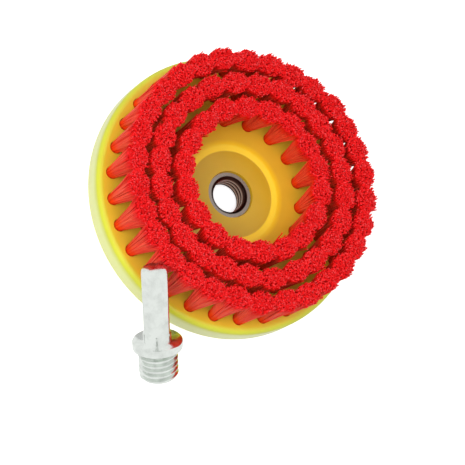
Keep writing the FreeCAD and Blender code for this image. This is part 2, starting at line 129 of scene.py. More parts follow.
class NodeSheet:
    """A finish's node tree, with short ways to add what it needs."""

    def __init__(self, slot: Slot) -> None:
        """Start a material whose tree holds one Principled shader and its output.

        Args:
            slot: the slot that it is for, which names it.
        """
        self.material = bpy.data.materials.new(slot.value)
        self.material.use_nodes = True
        self.tree = self.material.node_tree
        self.tree.nodes.clear()
        output = self.tree.nodes.new("ShaderNodeOutputMaterial")
        self.shader = self.tree.nodes.new("ShaderNodeBsdfPrincipled")
        self.link(self.shader.outputs["BSDF"], output.inputs["Surface"])

    def link(self, source: bpy.types.NodeSocket, target: bpy.types.NodeSocket) -> None:
        """Join two sockets."""
        self.tree.links.new(source, target)

    def set(self, **values: Value) -> None:
        """Give the shader's own sockets, named with underscores for spaces, their values."""
        for name, value in values.items():
            self.give(self.shader.inputs[name.replace("_", " ")], value)

    def give(self, socket: bpy.types.NodeSocket, value: Value) -> None:
        """Set a socket to a number or a colour, or join it to another socket.

        Args:
            socket: the socket to fill.
            value: what it takes.
        """
        if isinstance(value, bpy.types.NodeSocket):
            self.link(value, socket)
        else:
            socket.default_value = value

    def object_coordinates(self) -> bpy.types.NodeSocket:
        """The piece's own coordinates, in metres."""
        return self.tree.nodes.new("ShaderNodeTexCoord").outputs["Object"]

    def attribute(self, name: str) -> bpy.types.NodeSocket:
        """The number that a mesh attribute holds.

        Args:
            name: the attribute's name.

        Returns:
            Its socket.
        """
        node = self.tree.nodes.new("ShaderNodeAttribute")
        node.attribute_name = name
        return node.outputs["Fac"]

    def maths(self, operation: str, first: Value, second: Value = 0.0) -> bpy.types.NodeSocket:
        """One step of arithmetic.

        Args:
            operation: Blender's name for it.
            first: a socket or a number.
            second: a socket or a number.

        Returns:
            The result's socket.
        """
        node = self.tree.nodes.new("ShaderNodeMath")
        node.operation = operation
        for socket, value in zip(node.inputs, (first, second)):
            self.give(socket, value)
        return node.outputs["Value"]

    def ramp(
            self, value: bpy.types.NodeSocket, stops: Iterable[tuple[float, Colour]]) -> bpy.types.NodeSocket:
        """Colours along a value from 0 to 1.

        Args:
            value: the socket that the ramp reads.
            stops: each place from 0 to 1 and its colour.

        Returns:
            The ramp's colour socket.
        """
        node = self.tree.nodes.new("ShaderNodeValToRGB")
        elements = node.color_ramp.elements
        for i, (place, colour) in enumerate(stops):
            element = elements[i] if i < 2 else elements.new(place)
            element.position = place
            element.color = colour
        self.link(value, node.inputs["Fac"])
        return node.outputs["Color"]

    def noise(
            self, vector: bpy.types.NodeSocket, per_metre: float,
            detail: float = 3.0) -> bpy.types.NodeSocket:
        """Fine noise.

        Args:
            vector: the coordinates that it reads.
            per_metre: how many of its cells lie along a metre.
            detail: how many finer layers it has.

        Returns:
            A socket from 0 to 1.
        """
        node = self.tree.nodes.new("ShaderNodeTexNoise")
        node.inputs["Scale"].default_value = per_metre
        node.inputs["Detail"].default_value = detail
        self.link(vector, node.inputs["Vector"])
        return node.outputs["Fac"]

    def spread(self, value: bpy.types.NodeSocket, old: Span, new: Span = (0.0, 1.0)) -> bpy.types.NodeSocket:
        """A value moved from one range to another, and held inside it.

        Args:
            value: the socket that is moved.
            old: the ends of the range that it comes from.
            new: what those two ends become.

        Returns:
            The moved value's socket.
        """
        node = self.tree.nodes.new("ShaderNodeMapRange")
        for name, number in zip(("From Min", "From Max", "To Min", "To Max"), old + new):
            node.inputs[name].default_value = number
        self.link(value, node.inputs["Value"])
        return node.outputs["Result"]

    def mix(self, share: Value, first: Value, second: Value, blend: str = "MIX") -> bpy.types.NodeSocket:
        """Two colours mixed.

        Args:
            share: how much of the second, a socket or a number.
            first: a colour or its socket.
            second: a colour or its socket.
            blend: the way of mixing.

        Returns:
            The mixed colour's socket.
        """
        node = self.tree.nodes.new("ShaderNodeMix")
        node.data_type = "RGBA"
        node.blend_type = blend
        sockets = (node.inputs["Factor"], node.inputs[6], node.inputs[7])
        for socket, value in zip(sockets, (share, first, second)):
            self.give(socket, value)
        return node.outputs[2]

    def radius(self, vector: bpy.types.NodeSocket) -> tuple[bpy.types.NodeSocket, bpy.types.NodeSocket]:
        """How far a place is from the brush's axis, and how high.

        Args:
            vector: the coordinates.

        Returns:
            The sockets of the distance and of the height, both in metres.
        """
        parts = self.tree.nodes.new("ShaderNodeSeparateXYZ")
        self.link(vector, parts.inputs["Vector"])
        squares = [self.maths("MULTIPLY", parts.outputs[i], parts.outputs[i]) for i in (0, 1)]
        return self.maths("SQRT", self.maths("ADD", *squares)), parts.outputs[2]

    def bump(self, height: bpy.types.NodeSocket, depth: float, strength: float) -> None:
        """Let a height pattern tilt the shader's normals.

        Args:
            height: the pattern.
            depth: what a step of 1 in it stands for, in metres.
            strength: how much of it shows.
        """
        node = self.tree.nodes.new("ShaderNodeBump")
        node.inputs["Distance"].default_value = depth
        node.inputs["Strength"].default_value = strength
        self.link(height, node.inputs["Height"])
        self.link(node.outputs["Normal"], self.shader.inputs["Normal"])


# ---------------------------------------------------------------------------------------------
# Finishes
# ---------------------------------------------------------------------------------------------

@dataclass(frozen=True)
class MouldedPlastic:
    """Glossy yellow plastic, a little translucent, with painted light: a painted highlight round the hub and
    along the rim's edge, and the rim's wall painted paler, as if strongly lit.
    """

    face: Colour = paint(226, 190, 52)
    # A painted highlight: the ring round the hub is painted brighter than the face, as if its slope caught
    # the light.
    ring_highlight: Colour = paint(255, 222, 36)
    hub_floor: Colour = paint(206, 172, 38)
    # A painted highlight along the rim's rounded edge: lemon yellow against the face's orange yellow.
    rim_edge_highlight: Colour = paint(208, 212, 52)
    # Painted light: the rim's outer wall is painted pale, as if strongly lit.
    rim_wall_painted_light: Colour = paint(230, 236, 158)
    mottle: Colour = paint(210, 180, 90)
    disc_radius: float = 52.0 * MM
    hub_radius: float = 16.2 * MM
    hub_step: float = 0.312 * MM
    # Where the painted highlight round the hub ends, and how far it fades into the face.
    ring_highlight_radius: float = 18.12 * MM
    ring_highlight_fade: float = 2.56 * MM
    # From the face's edge out to the next radius the face turns into the painted highlight on the rim's edge.
    face_radius: float = 49.2 * MM
    rim_highlight_radius: float = 51.2 * MM
    # Outside this radius the rim's wall is painted pale, more so lower down between these heights: painted
    # light.
    lit_wall_radius: float = 51.6 * MM
    lit_wall_heights: Span = (8.6 * MM, 5.5 * MM)
    tint_heights: Span = (3.0 * MM, 5.0 * MM)
    mottle_scale: float = 160
    mottle_span: Span = (0.35, 0.75)
    mottle_share: float = 0.1
    ripple_scale: float = 240
    ripple_depth: float = 0.006 * MM
    ripple_strength: float = 0.3
    roughness: float = 0.3
    translucence: float = 0.15
    light_depth: float = 4.0 * MM
    light_reach: tuple[float, float, float] = (1.0, 0.9, 0.4)

    def material(self) -> bpy.types.Material:
        """Build the node material.

        Returns:
            The finish, for the piece's slot.
        """
        sheet = NodeSheet(Slot.PLASTIC)
        place = sheet.object_coordinates()
        radius, height = sheet.radius(place)
        # A ramp out from the axis: the hub, the painted highlight round it, the face and the painted
        # highlight on the rim's edge.
        stops = (
            (self.hub_radius, self.hub_floor),
            (self.hub_radius + self.hub_step, self.ring_highlight),
            (self.ring_highlight_radius, self.ring_highlight),
            (self.ring_highlight_radius + self.ring_highlight_fade, self.face),
            (self.face_radius, self.face),
            (self.rim_highlight_radius, self.rim_edge_highlight),
        )
        around = sheet.ramp(
            sheet.maths("DIVIDE", radius, self.disc_radius),
            [(stop / self.disc_radius, colour) for stop, colour in stops])
        around = sheet.mix(sheet.spread(height, self.tint_heights), self.face, around)
        # Painted light: the rim's wall turns pale, palest low down.
        wall = sheet.spread(radius, (self.lit_wall_radius, self.disc_radius))
        low = sheet.spread(height, self.lit_wall_heights)
        colour = sheet.mix(sheet.maths("MULTIPLY", wall, low), around, self.rim_wall_painted_light)
        cloud = sheet.spread(
            sheet.noise(place, self.mottle_scale, 2), self.mottle_span, (0.0, self.mottle_share))
        sheet.set(
            Base_Color=sheet.mix(cloud, colour, self.mottle, "MULTIPLY"),
            Roughness=self.roughness, IOR=1.5, Subsurface_Weight=self.translucence,
            Subsurface_Scale=self.light_depth, Subsurface_Radius=self.light_reach)
        sheet.bump(sheet.noise(place, self.ripple_scale, 0), self.ripple_depth, self.ripple_strength)
        return sheet.material


@dataclass(frozen=True)
class FilamentPlastic:
    """Red filament, with light painted along it: orange at the root as painted bounce light from the yellow
    plate, crimson towards the tip as painted shade, and the cut ends painted pinker, a few pale, as painted
    glints.
    """

    # Painted bounce light: the root is painted orange, as if lit by the yellow plate.
    root: Colour = paint(255, 70, 2)
    shaft: Colour = paint(255, 90, 62)
    # Painted shade: towards the tip the strands are painted a deeper crimson, the red of the shaded tips.
    top: Colour = paint(255, 14, 16)
    # A painted highlight: the cut ends are painted a little pinker.
    lit_cut_end: Colour = paint(252, 28, 34)
    # A painted glint: a few strands' cut ends are painted pale pink.
    end_glint: Colour = paint(255, 96, 100)
    streak: Colour = paint(236, 66, 66)
    sheen: Colour = paint(255, 70, 60)
    # How far up the painted bounce light at the root holds.
    root_until: float = 0.12
    shaft_span: Span = (0.3, 0.72)
    top_span: Span = (0.93, 0.985)
    streak_tones: Span = (0.3, 1.0)
    streak_share: float = 0.7
    # Which strands' cut ends get the painted glint, and how pale it makes them.
    glint_tones: Span = (0.1, 0.2)
    glint_share: float = 0.7
    roughness: float = 0.5
    gloss: float = 0.25
    sheen_share: float = 0.2

    def material(self) -> bpy.types.Material:
        """Build the node material, which reads the strands' own attributes.

        Returns:
            The finish, for the pieces' slots.
        """
        sheet = NodeSheet(Slot.BRISTLE)
        along = sheet.attribute("along")
        tone = sheet.attribute("tone")
        # The ramp along each strand paints light and shade: orange bounce at the root, crimson shade towards
        # the tip and a pinker highlight at the cut end.
        colour = sheet.ramp(along, [
            (0.0, self.root), (self.root_until, self.root),
            (self.shaft_span[0], self.shaft), (self.shaft_span[1], self.shaft),
            (self.top_span[0], self.top), (self.top_span[1], self.top), (1.0, self.lit_cut_end),
        ])
        streaked = sheet.spread(tone, self.streak_tones, (0.0, self.streak_share))
        colour = sheet.mix(streaked, colour, self.streak, "MULTIPLY")
        # Painted glints: the cut ends of a few strands turn pale pink.
        at_end = sheet.spread(along, (self.top_span[1], 1.0))
        pale = sheet.maths(
            "MULTIPLY", at_end, sheet.spread(tone, self.glint_tones, (self.glint_share, 0.0)))
        sheet.set(
            Base_Color=sheet.mix(pale, colour, self.end_glint), Roughness=self.roughness, IOR=1.5,
            Specular_IOR_Level=self.gloss, Sheen_Weight=self.sheen_share, Sheen_Tint=self.sheen)
        return sheet.material


@dataclass(frozen=True)
class PlatedSteel:
    """Bright plating on turned and milled steel."""

    colour: Colour = paint(228, 233, 228)
    stain: Colour = paint(198, 203, 198)
    cloud_scale: float = 260
    stain_span: Span = (0.4, 0.7)
    stain_share: float = 0.6
    roughness: Span = (0.13, 0.26)
    grain_scale: float = 1500
    grain_depth: float = 0.004 * MM
    grain_strength: float = 0.4

    def material(self) -> bpy.types.Material:
        """Build the node material.

        Returns:
            The finish, for the piece's slot.
        """
        sheet = NodeSheet(Slot.PLATED)
        place = sheet.object_coordinates()
        cloud = sheet.noise(place, self.cloud_scale, 4)
        stained = sheet.spread(cloud, self.stain_span, (0.0, self.stain_share))
        sheet.set(
            Base_Color=sheet.mix(stained, self.colour, self.stain), Metallic=1.0,
            Roughness=sheet.spread(cloud, NOISE_SPAN, self.roughness))
        sheet.bump(sheet.noise(place, self.grain_scale, 2), self.grain_depth, self.grain_strength)
        return sheet.material


@dataclass(frozen=True)
class InsertSteel:
    """Plain turned steel; in the thread the crests are painted lighter and the grooves darker, as painted
    highlight and painted shade.
    """

    colour: Colour = paint(150, 141, 132)
    # Painted light in the thread: the crests lighter as a painted highlight, the grooves dark as painted
    # shade.
    crest: Colour = paint(142, 116, 100)
    groove_shade: Colour = paint(54, 34, 28)
    crest_radii: Span = (5.98 * MM, 6.3 * MM)
    mouth_radii: Span = (7.0 * MM, 7.3 * MM)
    cloud_scale: float = 700
    roughness: Span = (0.24, 0.42)
    turning_pitch: float = 0.12 * MM
    turning_depth: float = 0.004 * MM
    turning_strength: float = 0.4

    def material(self) -> bpy.types.Material:
        """Build the node material.

        Returns:
            The finish, for the piece's slot.
        """
        sheet = NodeSheet(Slot.INSERT)
        place = sheet.object_coordinates()
        radius, _ = sheet.radius(place)
        # Inside the bore's mouth the thread turns from its lighter crests to the painted shade of its grooves
        # as the radius grows.
        thread = sheet.mix(sheet.spread(radius, self.crest_radii), self.crest, self.groove_shade)
        in_bore = sheet.spread(radius, self.mouth_radii, (1.0, 0.0))
        cloud = sheet.noise(place, self.cloud_scale, 4)
        sheet.set(
            Base_Color=sheet.mix(in_bore, self.colour, thread), Metallic=1.0,
            Roughness=sheet.spread(cloud, NOISE_SPAN, self.roughness))
        rings = sheet.maths("SINE", sheet.maths("MULTIPLY", radius, 2 * math.pi / self.turning_pitch))
        sheet.bump(rings, self.turning_depth, self.turning_strength)
        return sheet.material


@dataclass(frozen=True)
class DrawnWire:
    """Flat drawn wire of the tuft anchors."""

    colour: Colour = paint(186, 184, 178)
    dark: Colour = paint(150, 148, 142)
    cloud_scale: float = 1200
    roughness: Span = (0.3, 0.5)

    def material(self) -> bpy.types.Material:
        """Build the node material.

        Returns:
            The finish, for the anchors' slots.
        """
        sheet = NodeSheet(Slot.WIRE)
        cloud = sheet.noise(sheet.object_coordinates(), self.cloud_scale)
        sheet.set(
            Base_Color=sheet.mix(cloud, self.colour, self.dark), Metallic=1.0,
            Roughness=sheet.spread(cloud, NOISE_SPAN, self.roughness))
        return sheet.material


# ---------------------------------------------------------------------------------------------
# Making and dressing pieces
# ---------------------------------------------------------------------------------------------

def report(piece: bpy.types.Object) -> None:
    """Write one line about a finished piece to the log."""
    LOG.info("%s: %d faces", piece.name, len(piece.data.polygons))


def finish_piece(bm: bmesh.types.BMesh, name: str, material: bpy.types.Material, body: Body,
                 nodes: Iterable[str], sharp_above: float | None = None) -> bpy.types.Object:
    """Turn a bmesh into a piece that stands for its solids and rides on their body.

    Args:
        bm: the mesh in the making, which is freed.
        name: the piece's name.
        material: its finish.
        body: the body that it rides on.
        nodes: the solids that it stands for.
        sharp_above: edges that turn by more than this angle stay sharp, or None to leave them.

    Returns:
        The new object.
    """
    mesh = bpy.data.meshes.new(name)
    bm.to_mesh(mesh)
    bm.free()
    mesh.shade_smooth()
    if sharp_above is not None:
        mesh.set_sharp_from_angle(angle=sharp_above)
    mesh.materials.append(material)
    piece = bpy.data.objects.new(name, mesh)
    bpy.context.scene.collection.objects.link(piece)
    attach(piece, body.value)
    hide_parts(*nodes)
    report(piece)
    return piece


def dress_node(name: str, material: bpy.types.Material) -> None:
    """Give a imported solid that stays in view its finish.

    Args:
        name: the solid's node.
        material: the finish.
    """
    node = frame["nodes"][name]
    for slot in node.material_slots:
        slot.material = material
    report(node)


def merged_copy(node: bpy.types.Object) -> bmesh.types.BMesh:
    """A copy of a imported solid's mesh, with its loose triangles joined.

    Args:
        node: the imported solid.

    Returns:
        A new mesh in the making.
    """
    bm = bmesh.new()
    bm.from_mesh(node.data)
    bmesh.ops.remove_doubles(bm, verts=bm.verts, dist=0.0001 * MM)
    return bm


def cut_across(
        bm: bmesh.types.BMesh, height: float, tolerance: float,
        normal: tuple[float, float, float] = (0, 0, 1), clear_outer: bool = False) -> None:
    """Cut a mesh at a height, and clear what lies past the cut where that is asked for.

    Args:
        bm: the mesh in the making.
        height: where the level plane of the cut lies.
        tolerance: how near a corner may be to count as on the plane.
        normal: the side that counts as outer.
        clear_outer: whether that side is taken away.
    """
    bmesh.ops.bisect_plane(
        bm, geom=bm.verts[:] + bm.edges[:] + bm.faces[:], dist=tolerance,
        plane_co=(0, 0, height), plane_no=normal, clear_outer=clear_outer)


def grounded(point: Vector) -> Vector:
    """A point moved straight up or down to height 0."""
    return Vector((point.x, point.y, 0))


def up(height: float) -> Vector:
    """A step straight up."""
    return Vector((0, 0, height))


def shells(bm: bmesh.types.BMesh) -> list[list[Vector]]:
    """The corners of each separate shell of a mesh.

    Args:
        bm: a mesh whose doubles are merged.

    Returns:
        A list of corners for each shell.
    """
    found, seen = [], set()
    for start in bm.verts:
        if start in seen:
            continue
        shell, waiting = [], [start]
        seen.add(start)
        while waiting:
            vert = waiting.pop()
            shell.append(vert.co.copy())
            for edge in vert.link_edges:
                other = edge.other_vert(vert)
                if other not in seen:
                    seen.add(other)
                    waiting.append(other)
        found.append(shell)
    return found


def middle(points: Iterable[Vector]) -> Vector:
    """The middle of the box round some points.

    Args:
        points: the points.

    Returns:
        The box's centre.
    """
    points = list(points)
    low = Vector([min(p[i] for p in points) for i in range(3)])
    high = Vector([max(p[i] for p in points) for i in range(3)])
    return (low + high) / 2


# ---------------------------------------------------------------------------------------------
# Brush plate and anchors
# ---------------------------------------------------------------------------------------------

@dataclass
class BrushPlate:
    """The moulded disc and the wire anchors in it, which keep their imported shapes."""

    plastic: MouldedPlastic = field(default_factory=MouldedPlastic)
    wire: DrawnWire = field(default_factory=DrawnWire)

    def build(self) -> None:
        """Dress the plate and every anchor node."""
        dress_node("brush_plate", self.plastic.material())
        wire = self.wire.material()
        for name in sorted(frame["nodes"]):
            if name.startswith("tuft_anchors"):
                dress_node(name, wire)


# ---------------------------------------------------------------------------------------------
# Tufts
# ---------------------------------------------------------------------------------------------

@dataclass
class Socket:
    """Where one tuft stands: the centres of its root, at the plate's face, and of its tip."""

    root: Vector
    tip: Vector


@dataclass
class BristleTufts:
    """Red filament tufts, each in the place of its own solid."""

    finish: FilamentPlastic = field(default_factory=FilamentPlastic)
    strands: int = 520
    sides: int = 3
    strand_radius: float = 0.15 * MM
    strand_end_radius: float = 0.25 * MM
    cap_steepness: float = 0.9
    levels: tuple[float, ...] = (0.0, 0.3, 0.66, 1.0)
    buried_levels: int = 2
    face_height: float = 10.0 * MM
    find_within: float = 0.02 * MM
    root_radius: float = 2.16 * MM
    fold_height: float = 3.95 * MM
    fold_share: float = 0.8
    anchor_top: float = 6.2 * MM
    anchor_rise: float = 0.3 * MM
    anchor_clearance: float = 0.42 * MM
    crowding: float = 0.5
    turn_jitter: float = 0.12
    locks: int = 8
    lock_groove: float = 0.12
    tip_radius: float = 4.1 * MM
    tip_reach: float = 5.6 * MM
    tuft_sway: float = 0.45 * MM
    inward_set: float = 0.35 * MM
    outer_limit: float = 4.1 * MM
    tip_jitter: float = 0.3 * MM
    stray_share: float = 0.05
    stray_jitter: float = 0.8 * MM
    wander_limit: float = 2.2
    wander_bend: float = 2.2
    uneven_cut: float = 0.4 * MM
    crown: float = 0.9 * MM

    def straight_bundle(self) -> bpy.types.Mesh:
        """One straight strand, cut into levels, and a copy of it for each strand of a tuft.

        Returns:
            A mesh with the strands' corners one strand after another, lowest level first.
        """
        bm = bmesh.new()
        bmesh.ops.create_cone(
            bm, cap_ends=True, cap_tris=False, segments=self.sides,
            radius1=self.strand_radius, radius2=self.strand_end_radius, depth=1.0)
        spans = self.buried_levels + len(self.levels) - 1
        for cut in range(1, spans):
            cut_across(bm, cut / spans - 0.5, 0.001 * MM)
        for face in bm.faces:
            if abs(face.normal.z) > self.cap_steepness:
                for edge in face.edges:
                    edge.smooth = False
        bm.verts.sort(key=lambda vert: vert.co.z)
        strand = bpy.data.meshes.new("strand")
        bm.to_mesh(strand)
        for _ in range(self.strands - 1):
            bm.from_mesh(strand)
        bundle = bpy.data.meshes.new("bundle")
        bm.to_mesh(bundle)
        bm.free()
        bpy.data.meshes.remove(strand)
        return bundle

    def sockets(self, node: bpy.types.Object, tuft_top: float) -> list[Socket]:
        """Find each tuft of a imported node.

        Args:
            node: the node, which holds one solid for each tuft.
            tuft_top: the height of the tufts' tips.

        Returns:
            The tufts' places.
        """
        bm = merged_copy(node)
        found = []
        for shell in shells(bm):
            root, tip = (
                middle(p for p in shell if abs(p.z - height) < self.find_within)
                for height in (self.face_height, tuft_top))
            found.append(Socket(root, tip))
        bm.free()
        return found

    def place_in_bundle(self, index: int, chance: random.Random) -> tuple[float, float, float]:
        """Where a strand stands in its bundle, on a spiral like a sunflower's.

        Args:
            index: the strand's number, from the middle outwards.
            chance: the tuft's own source of chance.

        Returns:
            Its share of the way out, its angle, and that share drawn in between the locks.
        """
        golden_angle = math.pi * (3 - math.sqrt(5))
        share = ((index + 0.5) / self.strands) ** self.crowding
        angle = index * golden_angle + chance.uniform(-self.turn_jitter, self.turn_jitter)
        from_ridge = math.cos(self.locks * (angle - math.pi / 2 / self.locks))
        reach = share * (1 - share * self.lock_groove * (1 - from_ridge) / 2)
        return share, angle, reach

    def round_anchor(self, at_root: Vector, sideways: Vector) -> tuple[Vector, Vector]:
        """A strand's two points inside its hole, where its tuft is folded over a wire.

        Args:
            at_root: its place in the bundle at the plate's face.
            sideways: the direction across the wire.

        Returns:
            Its point in the fold under the wire and its point beside the wire.
        """
        beside = at_root.dot(sideways)
        clear = self.anchor_clearance + abs(beside) * (1 - self.anchor_clearance / self.root_radius)
        pushed = at_root + sideways * (math.copysign(clear, beside) - beside)
        folded = at_root - sideways * beside
        return (
            folded * self.fold_share + up(self.fold_height),
            pushed + up(self.anchor_top + self.anchor_rise),
        )

    def stray(self, chance: random.Random) -> Vector:
        """How far a strand's tip strays from its place: a little, or much further for a few.

        Args:
            chance: the tuft's own source of chance.

        Returns:
            A level step.
        """
        jitter = self.stray_jitter if chance.random() < self.stray_share else self.tip_jitter
        wander = Vector((chance.gauss(0, jitter), chance.gauss(0, jitter), 0))
        if wander.length > self.wander_limit * jitter:
            wander *= self.wander_limit * jitter / wander.length
        return wander

    def strand_path(
            self, socket: Socket, index: int, sway: Vector, chance: random.Random) -> list[Vector]:
        """The centre line of one strand, from the fold under its anchor to its cut end.

        Args:
            socket: the tuft's place.
            index: the strand's number, which sets its place in the bundle.
            sway: how far this tuft's tip stands from its true place.
            chance: the tuft's own source of chance.

        Returns:
            One point for each level.
        """
        share, angle, reach = self.place_in_bundle(index, chance)
        below = grounded(socket.root)
        outwards = below.normalized()
        sideways = Vector((-outwards.y, outwards.x, 0))
        across = outwards * math.cos(angle) * reach
        along = sideways * math.sin(angle) * reach
        at_root = (across + along) * self.root_radius
        points = [below + point for point in self.round_anchor(at_root, sideways)]
        wander = self.stray(chance)
        at_tip = across * self.tip_radius + along * self.tip_reach + sway - outwards * self.inward_set
        past = (at_tip + wander).dot(outwards) - self.outer_limit
        if past > 0:
            wander -= outwards * past
        cut = self.crown * share ** 2 + chance.random() * self.uneven_cut
        rise = socket.tip.z - cut - self.face_height
        lean = grounded(socket.tip - socket.root)
        for part in self.levels:
            fan = at_root.lerp(at_tip, part) + lean * part + wander * part ** self.wander_bend
            points.append(below + fan + up(self.face_height + rise * part))
        return points

    def grow(self, bm: bmesh.types.BMesh, bundle: bpy.types.Mesh, socket: Socket, seed: str) -> list[float]:
        """Add one tuft to a mesh: a straight bundle, bent strand by strand.

        Args:
            bm: the mesh in the making.
            bundle: the straight strands.
            socket: the tuft's place.
            seed: the name that its chance starts from.

        Returns:
            Each strand's tone, from 0 to 1.
        """
        chance = random.Random(seed)
        sway = Vector((chance.uniform(-1, 1), chance.uniform(-1, 1), 0)) * self.tuft_sway
        first = len(bm.verts)
        bm.from_mesh(bundle)
        bm.verts.ensure_lookup_table()
        tones = []
        for index in range(self.strands):
            path = self.strand_path(socket, index, sway, chance)
            turn = Matrix.Rotation(chance.uniform(0, 2 * math.pi), 3, "Z")
            tones.append(chance.random())
            for point in path:
                for _ in range(self.sides):
                    vert = bm.verts[first]
                    vert.co = point + turn @ grounded(vert.co)
                    first += 1
        return tones

    def mark(self, mesh: bpy.types.Mesh, tones: list[float]) -> None:
        """Store how far along its strand each corner is, above the face, and its strand's tone.

        Args:
            mesh: the finished strands.
            tones: each strand's tone, in the mesh's order.
        """
        heights = (0.0,) * self.buried_levels + self.levels
        along = [height for _ in tones for height in heights for _ in range(self.sides)]
        tone = [value for value in tones for _ in range(len(heights) * self.sides)]
        for name, values in (("along", along), ("tone", tone)):
            mesh.attributes.new(name, "FLOAT", "POINT").data.foreach_set("value", values)

    def build(self) -> None:
        """Replace every tuft node with its strands."""
        material = self.finish.material()
        bundle = self.straight_bundle()
        for name in sorted(frame["nodes"]):
            if "_tufts_" not in name:
                continue
            bm = bmesh.new()
            tones = []
            for number, socket in enumerate(self.sockets(frame["nodes"][name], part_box(name)[1].z)):
                tones += self.grow(bm, bundle, socket, f"{name}_{number}")
            piece = finish_piece(bm, f"{name}_strands", material, Body.BRUSH, [name])
            self.mark(piece.data, tones)
        bpy.data.meshes.remove(bundle)


# ---------------------------------------------------------------------------------------------
# Threads
# ---------------------------------------------------------------------------------------------

@dataclass
class MetricThread:
    """A right-handed M14 x 2 thread as one surface round Z."""

    crest: float = 7.0 * MM
    root: float = 5.92 * MM
    pitch: float = 2.0 * MM
    steps: int = 96
    cuts: int = 3
    merge_within: float = 0.001 * MM

    def section(self) -> list[tuple[float, float]]:
        """One pitch of the outline: flat, flank, flat, flank, flat, each in a few equal parts.

        Returns:
            Its points, as radius and height.
        """
        flat, top = self.pitch / 8, self.pitch / 8
        flank = (self.pitch - 2 * flat - top) / 2
        corners = [(self.root, 0.0), (self.root, flat), (self.crest, flat + flank),
                   (self.crest, flat + flank + top), (self.root, self.pitch - flat), (self.root, self.pitch)]
        points = [corners[0]]
        for start, end in zip(corners, corners[1:]):
            for cut in range(1, self.cuts + 1):
                points.append(tuple(a + (b - a) * (cut / self.cuts) for a, b in zip(start, end)))
        return points

    def cut(self, length: float, least: RadiusLimit, most: RadiusLimit) -> bmesh.types.BMesh:
        """The thread from height 0 to its length, open at both ends.

        Args:
            length: how long it is.
            least: the smallest radius allowed at a height.
            most: the largest radius allowed at a height.

        Returns:
            A new mesh whose two open ends lie in planes.
        """
        bm = bmesh.new()
        turns = math.ceil(length / self.pitch) + 2
        verts = [bm.verts.new((radius, 0, height - self.pitch)) for radius, height in self.section()]
        edges = [bm.edges.new(pair) for pair in zip(verts, verts[1:])]
        bmesh.ops.spin(
            bm, geom=verts + edges, cent=(0, 0, 0), axis=(0, 0, 1),
            dvec=(0, 0, self.pitch / self.steps), angle=2 * math.pi * turns, steps=self.steps * turns)
        bmesh.ops.remove_doubles(bm, verts=bm.verts, dist=self.merge_within)
        for height, normal in ((0.0, (0, 0, -1)), (length, (0, 0, 1))):
            cut_across(bm, height, self.merge_within / 2, normal, clear_outer=True)
        for vert in bm.verts:
            radius = vert.co.xy.length
            allowed = min(max(radius, least(vert.co.z)), most(vert.co.z))
            vert.co.x *= allowed / radius
            vert.co.y *= allowed / radius
        return bm


def open_loop(bm: bmesh.types.BMesh, height: float) -> list[bmesh.types.BMEdge]:
    """The open edges that lie at a height.

    Args:
        bm: the mesh in the making.
        height: where they lie.

    Returns:
        The edges.
    """
    return [
        edge for edge in bm.edges
        if edge.is_boundary and all(abs(vert.co.z - height) < 0.002 * MM for vert in edge.verts)
    ]


@dataclass
class ThreadedHub:
    """The steel bush in the hub, with its real thread."""

    finish: InsertSteel = field(default_factory=InsertSteel)
    thread: MetricThread = field(default_factory=MetricThread)
    mouth_radius: float = 7.07 * MM
    barrel_radius: float = 9.5 * MM
    shoulder: float = 0.8 * MM
    groove_start: float = 3.4 * MM
    groove_end: float = 5.0 * MM
    groove_radius: float = 8.6 * MM
    flange_thickness: float = 2.2 * MM
    flange_chamfer: float = 0.35 * MM
    rim_gap: float = 0.1 * MM
    barrel_margin: float = 0.05 * MM
    segments: int = 144
    sharp_above: float = math.radians(28)

    def hexagon(self, bm: bmesh.types.BMesh) -> None:
        """Draw the round flange out to a hexagon whose flats touch it.

        Args:
            bm: the mesh in the making, spun round Z.
        """
        for vert in bm.verts:
            if vert.co.xy.length < self.barrel_radius + self.barrel_margin:
                continue
            angle = math.atan2(vert.co.y, vert.co.x) % (math.pi / 3)
            vert.co.xy /= math.cos(angle - math.pi / 6)

    def build(self) -> None:
        """Make the thread, spin the bush round it and join the two."""
        low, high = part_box("threaded_insert")
        top = high.z
        flange = (high.y - low.y) / 2

        def least(height: float) -> float:
            """The bore's radius where its mouths are chamfered."""
            return self.mouth_radius - min(height, top - height)

        bm = self.thread.cut(top, least, lambda height: math.inf)
        outline = [
            (self.mouth_radius + self.rim_gap, top),
            (self.barrel_radius - self.shoulder, top),
            (self.barrel_radius, top - self.shoulder),
            (self.barrel_radius, self.groove_end),
            (self.groove_radius, self.groove_end),
            (self.groove_radius, self.groove_start),
            (self.barrel_radius, self.groove_start),
            (self.barrel_radius, self.flange_thickness),
            (flange - self.flange_chamfer, self.flange_thickness),
            (flange, self.flange_thickness - self.flange_chamfer),
            (flange, self.flange_chamfer),
            (flange - self.flange_chamfer, 0.0),
            (self.mouth_radius + self.rim_gap, 0.0),
        ]
        verts = [bm.verts.new((radius, 0, height)) for radius, height in outline]
        edges = [bm.edges.new(pair) for pair in zip(verts, verts[1:])]
        bmesh.ops.spin(
            bm, geom=verts + edges, cent=(0, 0, 0), axis=(0, 0, 1),
            angle=2 * math.pi, steps=self.segments, use_merge=True)
        self.hexagon(bm)
        for height in (0.0, top):
            bmesh.ops.bridge_loops(bm, edges=open_loop(bm, height))
        bmesh.ops.recalc_face_normals(bm, faces=bm.faces)
        finish_piece(
            bm, "threaded_bush", self.finish.material(), Body.BRUSH,
            ["threaded_insert"], self.sharp_above)


